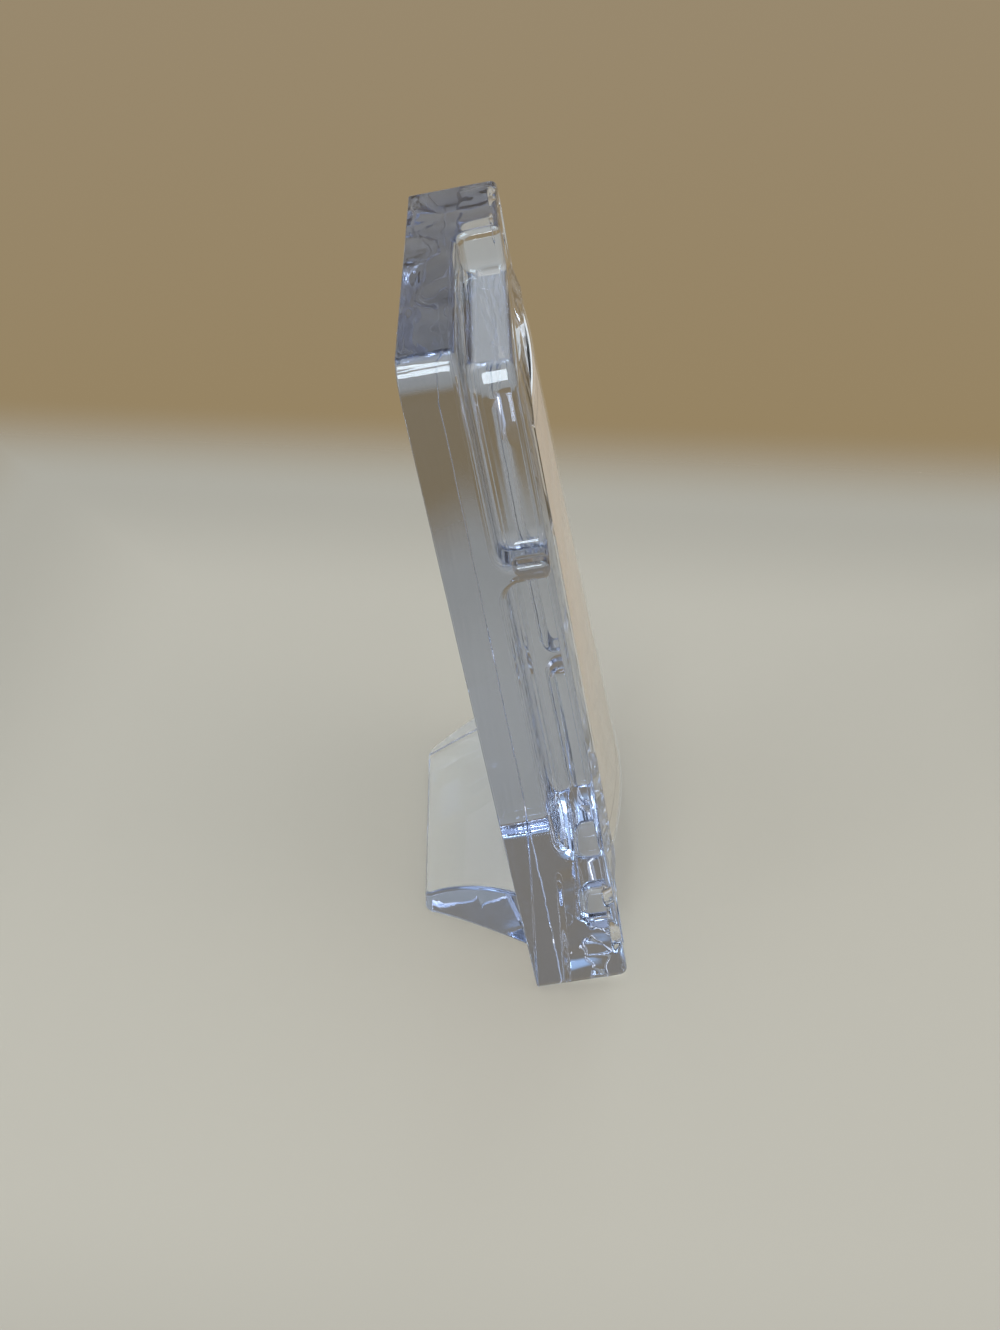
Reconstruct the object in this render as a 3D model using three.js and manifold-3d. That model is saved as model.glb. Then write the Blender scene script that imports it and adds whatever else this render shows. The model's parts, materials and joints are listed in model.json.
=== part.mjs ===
// A free-standing picture frame of clear pressed glass with hearts pressed into two corners.
// The slab leans back on a wedge-shaped glass foot, and a bowed print sits in a recess in its front.
// Millimetres, +Z up. The front faces -Y, and X runs along the width.

import * as THREE from 'three';
import { mergeVertices } from 'three/addons/utils/BufferGeometryUtils.js';
import Module from 'manifold-3d';

const wasm = await Module();
wasm.setup();

// Slab
const SLAB_WIDTH = 128;
const SLAB_HEIGHT = 180;
const REAR_LAYER = 13.4;
const FRONT_LAYER = 11.2;
const LEAN = THREE.MathUtils.degToRad(10.4);
const BLOCK_CORNER_RADIUS = 3;
const LEDGE_CORNER_RADIUS = 8.2;
const EDGE_ROUNDING = 1;

// Stepped outline of the front half
const SIDE_LEDGE_WIDTH = 11;
const END_LEDGE_WIDTH = 8.2;
const LEDGE_FILLET = 4;
const INNER_CHAMFER = 4.5;
const BLOCK_LENGTH = 43.5;
const SIDE_RAMP_RUN = 9.8;
const END_RAMP_RUN = 2;
const STRAP_HEIGHT = 126.6;
const STRAP_THICKNESS = 4.6;

// Sheets in the recess
const PRINT_WIDTH = 88.9;
const PRINT_HEIGHT = 127;
const PRINT_THICKNESS = 0.4;
const PRINT_BOW = 4.4;
const PRINT_BOW_TAPER = 1.8;
const FILM_THICKNESS = 0.3;
const CARD_THICKNESS = 0.6;
const SHEET_GAP = 0.3;
const SHEET_CLEARANCE = 0.3;

// Window recess and the bevelled rail round it
const RECESS_DEPTH = 1.5;
const RECESS_CORNER_RADIUS = 0.8;
const RAIL_RISE = 1.7;
const RAIL_SLOPE_WIDTH = 5.2;
const RAIL_CREST_WIDTH = 0.8;

// Hearts pressed into the corner blocks
const HEART_WIDTH = 18;
const HEART_HEIGHT = 16;
const HEART_MARGIN = 2.6;
const SMALL_HEART_WIDTH = 9.6;
const SMALL_HEART_HEIGHT = 8.6;
const SMALL_HEART_SPACING = 3.4;
const HEART_DEPTH = 3;
const HEART_BOWL = 2.4;

// Shape of a heart, as shares of its height and of half its width
const HEART_CLEFT = 0.27;
const HEART_SHOULDER = 0.16;
const HEART_CROWN = 0.61;
const HEART_CHEEK = -0.14;
const HEART_TIP_RISE = 0.16;
const HEART_TIP_SIDE = 0.2;
const HEART_CLEFT_SIDE = 0.12;

// Foot, a little to one side of the middle, and its adhesive layer
const FOOT_REACH = 30.6;
const FOOT_TIP_THICKNESS = 6.3;
const FOOT_ROOT_HEIGHT = 17.8;
const FOOT_TIP_WIDTH = 70.8;
const FOOT_FLARE = 16.2;
const FOOT_FLARE_POWER = 1.25;
const FOOT_CORNER_RADIUS = 2.2;
const FOOT_TOP_CROWN = 1.9;
const FOOT_OFFSET = 3.8;
const BOND_THICKNESS = 0.3;
const BOND_GAP = 0.3;
const BOND_MARGIN = 1;

// Fineness of the round stretches
const ARC_STEPS = 6;
const FLARE_STEPS = 8;
const BOW_STEPS = 20;
const TAPER_STEPS = 8;
const CURVE_STEPS = 8;
const DOME_STEPS = 3;
const EDGE_STEPS = 2;
const BOW_ROUNDS = 6;

// How far a form runs on into what it joins, or past what it cuts
const EMBED = 1;

const SLAB_THICKNESS = REAR_LAYER + FRONT_LAYER;
const slabCentre = new THREE.Vector2(0, SLAB_HEIGHT / 2);

// Solids and cuts

/** A closed geometry as a solid that can be joined and cut. */
function solid(geometry) {
  geometry.deleteAttribute('normal');
  geometry.deleteAttribute('uv');
  const merged = mergeVertices(geometry);
  return new wasm.Manifold(new wasm.Mesh({
    numProp: 3,
    vertProperties: new Float32Array(merged.attributes.position.array),
    triVerts: new Uint32Array(merged.index.array),
  }));
}

/** A solid's triangles as a geometry. */
function geometryOf(body) {
  const mesh = body.getMesh();
  const geometry = new THREE.BufferGeometry();
  geometry.setAttribute('position', new THREE.BufferAttribute(new Float32Array(mesh.vertProperties), 3));
  geometry.setIndex(new THREE.BufferAttribute(new Uint32Array(mesh.triVerts), 1));
  return geometry.toNonIndexed();
}

/** An outline extruded from one height to another, with its outline kept and its edges rounded. */
function plate(shape, from, to, rounding = 0) {
  const geometry = new THREE.ExtrudeGeometry(shape, {
    depth: to - from - 2 * rounding,
    bevelEnabled: rounding > 0,
    bevelThickness: rounding,
    bevelSize: rounding,
    bevelOffset: -rounding,
    bevelSegments: EDGE_STEPS,
    curveSegments: CURVE_STEPS,
  });
  return solid(geometry.translate(0, 0, from + rounding));
}

/** An outline that spreads by a width at one height and tapers to its own size above it. */
function flaredPlate(shape, height, spread, rise) {
  const geometry = new THREE.ExtrudeGeometry(shape, {
    depth: EMBED,
    bevelThickness: rise,
    bevelSize: spread,
    bevelSegments: 1,
    curveSegments: CURVE_STEPS,
  });
  return solid(geometry.translate(0, 0, height - EMBED));
}

// Outlines, in the plane of the slab: x along the width, y up the slab

/** Points along an arc. */
function arcPoints(x, y, radius, startAngle, endAngle, steps = ARC_STEPS) {
  const points = [];
  for (let i = 0; i <= steps; i += 1) {
    const angle = startAngle + (endAngle - startAngle) * i / steps;
    points.push(new THREE.Vector2(x + radius * Math.cos(angle), y + radius * Math.sin(angle)));
  }
  return points;
}

/** A rectangle with round corners. The other radius is that of its upper left and lower right corners. */
function roundedRectangle(width, height, centreY, radius, otherRadius = radius) {
  const quarter = Math.PI / 2;
  const half = [[radius, 0], [otherRadius, 1]].flatMap(([corner, turn]) => {
    const x = (turn === 0 ? 1 : -1) * (width / 2 - corner);
    return arcPoints(x, height / 2 - corner, corner, turn * quarter, (turn + 1) * quarter);
  });
  const otherHalf = half.map((point) => point.clone().negate());
  return new THREE.Shape([...half, ...otherHalf].map((point) => point.setY(point.y + centreY)));
}

/** The stepped outline: two halves alike, turned half round about the slab's centre. */
function steppedOutline() {
  const edge = SLAB_WIDTH / 2;
  const inner = edge - SIDE_LEDGE_WIDTH;
  const strapMiddle = SLAB_HEIGHT - STRAP_HEIGHT;
  const strapLow = strapMiddle - STRAP_THICKNESS / 2;
  const strapHigh = strapMiddle + STRAP_THICKNESS / 2;
  const blockLow = SLAB_HEIGHT - BLOCK_LENGTH;
  const outerCorner = BLOCK_CORNER_RADIUS;
  const half = [
    ...arcPoints(-edge + outerCorner, outerCorner, outerCorner, Math.PI, 1.5 * Math.PI),
    new THREE.Vector2(-edge + BLOCK_LENGTH, 0),
    new THREE.Vector2(-edge + BLOCK_LENGTH + END_RAMP_RUN, END_LEDGE_WIDTH),
    new THREE.Vector2(inner - INNER_CHAMFER, END_LEDGE_WIDTH),
    new THREE.Vector2(inner, END_LEDGE_WIDTH + INNER_CHAMFER),
    new THREE.Vector2(inner, strapLow),
    new THREE.Vector2(edge, strapLow),
    new THREE.Vector2(edge, strapHigh),
    new THREE.Vector2(inner, strapHigh),
    new THREE.Vector2(inner, blockLow - SIDE_RAMP_RUN),
    new THREE.Vector2(edge, blockLow),
  ];
  const otherHalf = half.map((point) => point.clone().rotateAround(slabCentre, Math.PI));
  return new THREE.Shape([...half, ...otherHalf]);
}

/** A heart about the origin, its tip pointing down the slab. */
function heartOutline(width, height) {
  const shape = new THREE.Shape();
  const side = width / 2;
  const cleft = HEART_CLEFT * height;
  const shoulder = HEART_SHOULDER * height;
  const crown = HEART_CROWN * height;
  const cheek = HEART_CHEEK * height;
  const tip = -height / 2;
  const tipRise = tip + HEART_TIP_RISE * height;
  const tipSide = HEART_TIP_SIDE * side;
  const cleftSide = HEART_CLEFT_SIDE * side;
  shape.moveTo(0, tip);
  shape.bezierCurveTo(tipSide, tipRise, side, cheek, side, shoulder);
  shape.bezierCurveTo(side, crown, cleftSide, crown, 0, cleft);
  shape.bezierCurveTo(-cleftSide, crown, -side, crown, -side, shoulder);
  shape.bezierCurveTo(-side, cheek, -tipSide, tipRise, 0, tip);
  return shape.getPoints(CURVE_STEPS).slice(0, -1);
}

/** A closed solid through copies of an outline, each with its own scale and height. */
function loft(outline, rings) {
  const count = outline.length;
  const positions = rings.flatMap(({ scale, height }) => outline.flatMap(
    (point) => [point.x * scale, point.y * scale, height],
  ));
  const last = (rings.length - 1) * count;
  const triangles = [];
  for (const [a, b, c] of THREE.ShapeUtils.triangulateShape(outline, [])) {
    triangles.push(c, b, a, last + a, last + b, last + c);
  }
  for (let ring = 0; ring < last; ring += count) {
    for (let i = 0; i < count; i += 1) {
      const next = (i + 1) % count;
      triangles.push(ring + i, ring + next, ring + count + next);
      triangles.push(ring + i, ring + count + next, ring + count + i);
    }
  }
  const geometry = new THREE.BufferGeometry();
  geometry.setAttribute('position', new THREE.Float32BufferAttribute(positions, 3));
  geometry.setIndex(triangles);
  return geometry;
}

/** The hollow of a heart in the front of the slab, with a rounded floor. */
function heartHollow({ width, height, x, y }) {
  const rings = [];
  for (let i = 0; i <= DOME_STEPS; i += 1) {
    const angle = Math.PI / 2 * (1 - i / DOME_STEPS);
    rings.push({
      scale: 1 - HEART_BOWL * (1 - Math.cos(angle)) / (width / 2),
      height: SLAB_THICKNESS - HEART_DEPTH * Math.sin(angle),
    });
  }
  rings.push({ scale: 1, height: SLAB_THICKNESS + EMBED });
  return solid(loft(heartOutline(width, height), rings).translate(x, y, 0));
}

// Bowed sheets

/** Half the angle that a sheet of a width spans when it bows out by a height, found in rounds. */
function bowHalfAngle(width, bow) {
  let angle = 4 * bow / width;
  for (let i = 0; i < BOW_ROUNDS; i += 1) {
    angle = 2 * bow * angle ** 2 / (width * (1 - Math.cos(angle)));
  }
  return angle;
}

const bowAngle = bowHalfAngle(PRINT_WIDTH, PRINT_BOW);
const bowRadius = PRINT_WIDTH / (2 * bowAngle);
const filmBackRadius = bowRadius + PRINT_THICKNESS + SHEET_GAP;
const filmFrontRadius = filmBackRadius + FILM_THICKNESS;

const recessFloor = SLAB_THICKNESS - RECESS_DEPTH;
const cardBack = recessFloor + SHEET_GAP;
const printEdge = cardBack + CARD_THICKNESS + SHEET_GAP;
const bowCentre = printEdge - bowRadius * Math.cos(bowAngle);
const sheetBottom = slabCentre.y - PRINT_HEIGHT / 2;

const sheetSpan = 2 * filmFrontRadius * Math.sin(bowAngle);
const windowWidth = sheetSpan + 2 * SHEET_CLEARANCE;
const windowHeight = PRINT_HEIGHT + 2 * SHEET_CLEARANCE;

/** A sheet bowed about the slab's height, between two radii, more at its lower end than at its upper one. */
function bowedSheet(backRadius, thickness) {
  const from = Math.PI / 2 - bowAngle;
  const to = Math.PI / 2 + bowAngle;
  const shape = new THREE.Shape([
    ...arcPoints(0, bowCentre, backRadius + thickness, from, to, BOW_STEPS),
    ...arcPoints(0, bowCentre, backRadius, to, from, BOW_STEPS),
  ]);
  const geometry = new THREE.ExtrudeGeometry(shape, {
    depth: PRINT_HEIGHT,
    steps: TAPER_STEPS,
    bevelEnabled: false,
  });
  geometry.rotateX(Math.PI / 2).translate(0, sheetBottom + PRINT_HEIGHT, 0);
  const position = geometry.attributes.position;
  const edgeHeight = bowRadius * Math.cos(bowAngle);
  for (let i = 0; i < position.count; i += 1) {
    const bow = Math.sqrt(bowRadius ** 2 - position.getX(i) ** 2) - edgeHeight;
    const lower = 1 - 2 * (position.getY(i) - sheetBottom) / PRINT_HEIGHT;
    position.setZ(i, position.getZ(i) + bow * lower * PRINT_BOW_TAPER / PRINT_BOW);
  }
  return geometry;
}

// Pieces of the slab, with its rear face at height 0 and its front upwards

/** The hearts of one corner block: a large one in the corner and a small one on each arm. */
function cornerHearts() {
  const edge = SLAB_WIDTH / 2;
  const railReach = RAIL_SLOPE_WIDTH + RAIL_CREST_WIDTH;
  const sideLand = edge - windowWidth / 2 - railReach;
  const endLand = (SLAB_HEIGHT - windowHeight) / 2 - railReach;
  const largeX = -edge + HEART_MARGIN + HEART_WIDTH / 2;
  const endX = largeX + (HEART_WIDTH + SMALL_HEART_WIDTH) / 2 + SMALL_HEART_SPACING;
  const sideY = endLand / 2 + (HEART_HEIGHT + SMALL_HEART_HEIGHT) / 2 + SMALL_HEART_SPACING;
  const large = { width: HEART_WIDTH, height: HEART_HEIGHT };
  const small = { width: SMALL_HEART_WIDTH, height: SMALL_HEART_HEIGHT };
  return [
    { ...large, x: largeX, y: endLand / 2 },
    { ...small, x: endX, y: endLand / 2 },
    { ...small, x: -edge + sideLand / 2, y: sideY },
  ];
}

/** The pressed slab: rear plate, stepped front, hearts, rail and window recess. */
function glassBody() {
  const outline = roundedRectangle(
    SLAB_WIDTH,
    SLAB_HEIGHT,
    slabCentre.y,
    BLOCK_CORNER_RADIUS,
    LEDGE_CORNER_RADIUS,
  );
  const stepped = steppedOutline();
  const window = roundedRectangle(windowWidth, windowHeight, slabCentre.y, RECESS_CORNER_RADIUS);
  const crest = roundedRectangle(
    windowWidth + 2 * RAIL_CREST_WIDTH,
    windowHeight + 2 * RAIL_CREST_WIDTH,
    slabCentre.y,
    RECESS_CORNER_RADIUS + RAIL_CREST_WIDTH,
  );
  const ledgeRoot = flaredPlate(stepped, REAR_LAYER, LEDGE_FILLET, LEDGE_FILLET)
    .intersect(plate(outline, 0, SLAB_THICKNESS, EDGE_ROUNDING));
  let body = plate(outline, 0, REAR_LAYER, EDGE_ROUNDING)
    .add(plate(stepped, 0, SLAB_THICKNESS, EDGE_ROUNDING))
    .add(ledgeRoot)
    .add(flaredPlate(crest, SLAB_THICKNESS, RAIL_SLOPE_WIDTH, RAIL_RISE))
    .subtract(plate(window, recessFloor, SLAB_THICKNESS + RAIL_RISE + EMBED));
  for (const heart of cornerHearts()) {
    const opposite = { ...heart, x: -heart.x, y: SLAB_HEIGHT - heart.y };
    body = body.subtract(heartHollow(heart)).subtract(heartHollow(opposite));
  }
  return body;
}

/** The flat card on the floor of the recess. */
function backingCard() {
  const width = 2 * bowRadius * Math.sin(bowAngle);
  const outline = roundedRectangle(width, PRINT_HEIGHT, slabCentre.y, RECESS_CORNER_RADIUS);
  return plate(outline, cardBack, cardBack + CARD_THICKNESS);
}

// Foot, with the slab's lower rear edge at y 0 and the rest of it behind, at higher y

/** Half the foot's width at a distance behind the slab. */
function footHalfWidth(y) {
  return FOOT_TIP_WIDTH / 2 + FOOT_FLARE * Math.max(0, 1 - y / FOOT_REACH) ** FOOT_FLARE_POWER;
}

/** The distance of the foot's root face behind the slab's lower rear edge, at a height above the table. */
function footRoot(height, slabDrop) {
  return (BOND_THICKNESS + 2 * BOND_GAP) / Math.cos(LEAN) + (height + slabDrop) * Math.tan(LEAN);
}

/** The foot: its flared plan and its wedge-shaped side view, each extruded, where they meet. */
function glassFoot(slabDrop) {
  const rootBottom = footRoot(0, slabDrop);
  const rootTop = footRoot(FOOT_ROOT_HEIGHT, slabDrop);
  const cornerY = FOOT_REACH - FOOT_CORNER_RADIUS;
  const side = [];
  for (let i = 0; i < FLARE_STEPS; i += 1) {
    const y = rootBottom + (cornerY - rootBottom) * i / FLARE_STEPS;
    side.push(new THREE.Vector2(footHalfWidth(y), y));
  }
  const cornerX = footHalfWidth(cornerY) - FOOT_CORNER_RADIUS;
  side.push(...arcPoints(cornerX, cornerY, FOOT_CORNER_RADIUS, 0, Math.PI / 2));
  const mirrored = side.map((point) => new THREE.Vector2(-point.x, point.y)).reverse();
  const plan = plate(new THREE.Shape([...side, ...mirrored]), 0, FOOT_ROOT_HEIGHT);

  const profile = new THREE.Shape();
  profile.moveTo(rootBottom, 0);
  profile.lineTo(FOOT_REACH, 0);
  profile.lineTo(FOOT_REACH, FOOT_TIP_THICKNESS);
  profile.quadraticCurveTo(
    (FOOT_REACH + rootTop) / 2,
    (FOOT_TIP_THICKNESS + FOOT_ROOT_HEIGHT) / 2 + 2 * FOOT_TOP_CROWN,
    rootTop,
    FOOT_ROOT_HEIGHT,
  );
  const halfSpan = footHalfWidth(rootBottom) + EMBED;
  const sideView = new THREE.ExtrudeGeometry(profile, {
    depth: 2 * halfSpan,
    bevelEnabled: false,
    curveSegments: CURVE_STEPS,
  });
  const alongWidth = new THREE.Matrix4().makeBasis(
    new THREE.Vector3(0, 1, 0),
    new THREE.Vector3(0, 0, 1),
    new THREE.Vector3(1, 0, 0),
  );
  sideView.translate(0, 0, -halfSpan).applyMatrix4(alongWidth);
  return plan.intersect(solid(sideView)).translate([FOOT_OFFSET, 0, 0]);
}

/** The adhesive layer behind the slab's rear face, inside the outline of the foot's root. */
function footBond(slabDrop) {
  const halfWidth = footHalfWidth(footRoot(FOOT_ROOT_HEIGHT, slabDrop)) - BOND_MARGIN;
  const low = EDGE_ROUNDING + BOND_MARGIN;
  const high = FOOT_ROOT_HEIGHT / Math.cos(LEAN) - BOND_MARGIN;
  const outline = roundedRectangle(2 * halfWidth, high - low, (low + high) / 2, BOND_MARGIN);
  return plate(outline, -BOND_GAP - BOND_THICKNESS, -BOND_GAP).translate([FOOT_OFFSET, 0, 0]);
}

// Assembly

const glass = { color: 0xdde6ec, roughness: 0.04, metalness: 0, transparent: true, opacity: 0.4 };
const clearPlastic = { color: 0xf2f4f4, roughness: 0.12, metalness: 0, transparent: true, opacity: 0.3 };
const paper = { color: 0xe6c9a4, roughness: 0.7, metalness: 0 };
const card = { color: 0xd9d3c6, roughness: 0.85, metalness: 0 };

/** A named piece with its own material. */
function piece(name, geometry, finish) {
  geometry.computeVertexNormals();
  const mesh = new THREE.Mesh(geometry, new THREE.MeshStandardMaterial(finish));
  mesh.name = name;
  return mesh;
}

const slab = new THREE.Group();
slab.rotation.x = Math.PI / 2 - LEAN;
slab.add(piece('glass_body', geometryOf(glassBody()), glass));

// The slab stands on its lower rear edge, so it drops by what the rounding takes off that edge.
const slabDrop = new THREE.Box3().setFromObject(slab, true).min.z;
slab.position.z = -slabDrop;
slab.add(piece('foot_bond', geometryOf(footBond(slabDrop)), clearPlastic));
slab.add(piece('backing_card', geometryOf(backingCard()), card));
slab.add(piece('photo_print', bowedSheet(bowRadius, PRINT_THICKNESS), paper));
slab.add(piece('cover_film', bowedSheet(filmBackRadius, FILM_THICKNESS), clearPlastic));

const frame = new THREE.Group();
frame.add(slab);
frame.add(piece('glass_foot', geometryOf(glassFoot(slabDrop)), glass));

// The origin lies on the table, under the middle of the whole frame.
const reach = new THREE.Box3().setFromObject(frame, true);
const middle = reach.getCenter(new THREE.Vector3());
frame.position.set(-middle.x, -middle.y, -reach.min.z);

export default frame;
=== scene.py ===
"""A free-standing picture frame of clear pressed glass, modelled and lit for its picture.

The slab's pieces are modelled in millimetres, lying on the slab's back: x runs along the width, y up the
slab and z out of its front. Slab.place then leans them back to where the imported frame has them.
"""

import json
import logging
import math
from collections.abc import Callable, Iterable, Iterator
from contextlib import contextmanager
from dataclasses import dataclass
from enum import Enum
from itertools import pairwise

import bmesh
import bpy
from mathutils import Matrix, Vector


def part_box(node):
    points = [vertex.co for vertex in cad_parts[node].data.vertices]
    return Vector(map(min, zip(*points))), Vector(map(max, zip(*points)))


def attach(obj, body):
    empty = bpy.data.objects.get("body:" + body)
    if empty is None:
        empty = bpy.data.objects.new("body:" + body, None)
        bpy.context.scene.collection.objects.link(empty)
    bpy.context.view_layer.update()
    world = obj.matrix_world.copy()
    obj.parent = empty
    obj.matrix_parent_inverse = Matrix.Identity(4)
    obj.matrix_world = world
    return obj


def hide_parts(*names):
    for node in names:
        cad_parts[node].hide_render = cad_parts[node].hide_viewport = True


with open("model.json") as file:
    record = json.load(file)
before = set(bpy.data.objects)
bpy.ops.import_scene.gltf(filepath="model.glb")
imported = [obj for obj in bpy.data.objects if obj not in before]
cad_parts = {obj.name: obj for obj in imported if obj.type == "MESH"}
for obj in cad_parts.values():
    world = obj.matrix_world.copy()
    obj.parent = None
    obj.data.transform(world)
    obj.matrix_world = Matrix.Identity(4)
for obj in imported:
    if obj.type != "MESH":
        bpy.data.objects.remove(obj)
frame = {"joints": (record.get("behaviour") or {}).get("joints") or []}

log = logging.getLogger("glass_picture_frame")

# Metres in a millimetre
MM = 0.001

# The bench's limits: two lengths in millimetres, a cosine, two turns in degrees and two angles in radians
WELD = 1e-4
NEAR = 1e-3
FACING = 0.99
CORNER_TURN = 30
HOLLOW_TURN = -20
FLAT_ANGLE = math.radians(0.3)
SHARP_ANGLE = math.radians(32)

Pair = tuple[float, float]
Triple = tuple[float, float, float]
Colour = tuple[float, float, float, float]
Stops = tuple[tuple[float, Colour], ...]
EdgeTest = Callable[[bmesh.types.BMEdge], bool]
FaceTest = Callable[[bmesh.types.BMFace], bool]


class Join(Enum):
    """How a second solid changes the first."""

    ADD = "UNION"
    CUT = "DIFFERENCE"


class Side(Enum):
    """The two sides of a sheet."""

    FRONT = 0
    BACK = 1


# Modelling


def turn_of(edge: bmesh.types.BMEdge) -> float:
    """The angle in degrees by which the surface turns at an edge, below zero in a hollow."""
    return math.degrees(edge.calc_face_angle_signed(0.0))


def upright(edge: bmesh.types.BMEdge) -> bool:
    """Whether an edge runs straight along z."""
    span = edge.verts[1].co - edge.verts[0].co
    return math.hypot(span.x, span.y) < WELD and abs(span.z) > WELD


def middle_of(edge: bmesh.types.BMEdge) -> Vector:
    """The middle of an edge."""
    return (edge.verts[0].co + edge.verts[1].co) / 2


def faces_front(face: bmesh.types.BMFace) -> bool:
    """Whether a face looks along +z."""
    return face.normal.z > FACING


@dataclass(frozen=True)
class Pull:
    """One step of drawing a face out: a move, unless it is nought, then a scaling about a point."""

    move: Triple
    scale: Triple = (1.0, 1.0, 1.0)
    about: Triple = (0.0, 0.0, 0.0)


class Workpiece:
    """A piece on the bench, in millimetres."""

    def __init__(self, name: str) -> None:
        """Take the object that was just added.

        Args:
            name: The piece's name.
        """
        self.obj = bpy.context.object
        self.obj.name = name
        self.obj.data.name = name
        bpy.ops.object.transform_apply(location=True, rotation=True, scale=True)

    @classmethod
    def block(cls, name: str, low: Triple, high: Triple) -> "Workpiece":
        """Add a block.

        Args:
            name: The piece's name.
            low: The block's lowest corner.
            high: The block's highest corner.

        Returns:
            The block.
        """
        size = [b - a for a, b in zip(low, high)]
        centre = [(a + b) / 2 for a, b in zip(low, high)]
        bpy.ops.object.select_all(action="DESELECT")
        bpy.ops.mesh.primitive_cube_add(size=1, location=centre, scale=size)
        return cls(name)

    def activate(self) -> None:
        """Select this piece alone and make it the active one."""
        bpy.ops.object.select_all(action="DESELECT")
        self.obj.select_set(True)
        bpy.context.view_layer.objects.active = self.obj

    @contextmanager
    def editing(self) -> Iterator[None]:
        """Hold this piece in edit mode, with nothing selected at first."""
        self.activate()
        bpy.ops.object.mode_set(mode="EDIT")
        bpy.ops.mesh.select_all(action="DESELECT")
        yield
        bpy.ops.object.mode_set(mode="OBJECT")

    def pick_edges(self, test: EdgeTest) -> None:
        """Select the edges that pass a test, in edit mode.

        Args:
            test: Tells which edges to select.
        """
        bpy.ops.mesh.select_mode(type="EDGE")
        mesh = bmesh.from_edit_mesh(self.obj.data)
        mesh.normal_update()
        for edge in mesh.edges:
            if edge.is_manifold and test(edge):
                edge.select_set(True)
        bmesh.update_edit_mesh(self.obj.data)

    def pick_faces(self, test: FaceTest) -> None:
        """Select the faces that pass a test, in edit mode.

        Args:
            test: Tells which faces to select.
        """
        bpy.ops.mesh.select_mode(type="FACE")
        mesh = bmesh.from_edit_mesh(self.obj.data)
        mesh.normal_update()
        for face in mesh.faces:
            if test(face):
                face.select_set(True)
        bmesh.update_edit_mesh(self.obj.data)

    def bevel(self, test: EdgeTest, width: float, segments: int) -> None:
        """Round the edges that pass a test.

        Args:
            test: Tells which edges to round.
            width: How far the rounding reaches along each face.
            segments: How many strips make it.
        """
        with self.editing():
            self.pick_edges(test)
            bpy.ops.mesh.bevel(
                offset=width, offset_type="OFFSET", segments=segments, affect="EDGES", clamp_overlap=False
            )

    def cut(self, test: FaceTest, point: Triple, normal: Triple, keep_ahead: bool = False) -> None:
        """Cut faces along a plane.

        Args:
            test: Tells which faces to cut.
            point: A point on the plane.
            normal: The plane's normal.
            keep_ahead: Whether only what lies ahead of the plane stays, with its end closed.
        """
        with self.editing():
            self.pick_faces(test)
            bpy.ops.mesh.bisect(
                plane_co=point, plane_no=normal, threshold=WELD, clear_inner=keep_ahead, use_fill=keep_ahead
            )

    def draw_out(self, test: FaceTest, pulls: Iterable[Pull]) -> None:
        """Extrude faces step by step.

        Args:
            test: Tells which faces to extrude.
            pulls: The steps.
        """
        with self.editing():
            self.pick_faces(test)
            for pull in pulls:
                if any(pull.move):
                    bpy.ops.mesh.extrude_region_move(TRANSFORM_OT_translate={"value": pull.move})
                bpy.ops.transform.resize(value=pull.scale, center_override=pull.about)

    def weld(self) -> None:
        """Merge the points that lie together, and turn all faces outwards."""
        with self.editing():
            bpy.ops.mesh.select_all(action="SELECT")
            bpy.ops.mesh.remove_doubles(threshold=WELD)
            bpy.ops.mesh.normals_make_consistent(inside=False)

    def merge_flats(self) -> None:
        """Join the faces that lie in one plane."""
        with self.editing():
            bpy.ops.mesh.select_all(action="SELECT")
            bpy.ops.mesh.dissolve_limited(angle_limit=FLAT_ANGLE)

    def modify(self, kind: str, **settings: object) -> None:
        """Add a modifier and apply it.

        Args:
            kind: The modifier's type.
            settings: Its settings.
        """
        self.activate()
        bpy.ops.object.modifier_add(type=kind)
        modifier = self.obj.modifiers[-1]
        for key, value in settings.items():
            setattr(modifier, key, value)
        bpy.ops.object.modifier_apply(modifier=modifier.name)

    def combine(self, other: "Workpiece", join: Join) -> None:
        """Add another piece to this one, or cut it out of this one.

        Args:
            other: The other piece, which is used up.
            join: Which of the two.
        """
        self.modify("BOOLEAN", object=other.obj, operation=join.value, solver="EXACT")
        bpy.data.objects.remove(other.obj)

    def thicken(self, thickness: float) -> None:
        """Give a surface a thickness on the side that it faces."""
        self.modify("SOLIDIFY", thickness=thickness, offset=1, use_even_offset=True)

    def set_down(self, place: Matrix, *finishes: bpy.types.Material) -> bpy.types.Object:
        """Move the piece to its place in the frame, keep that in its mesh, smooth it and dress it.

        Args:
            place: The turn, size and place in the frame.
            finishes: Its materials.

        Returns:
            The finished piece.
        """
        self.activate()
        self.obj.matrix_world = place
        bpy.ops.object.transform_apply(location=True, rotation=True, scale=True)
        bpy.ops.object.shade_smooth_by_angle(angle=SHARP_ANGLE)
        self.modify("WEIGHTED_NORMAL", keep_sharp=True)
        for finish in finishes:
            self.obj.data.materials.append(finish)
        return self.obj


# Sizes that several pieces share


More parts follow.
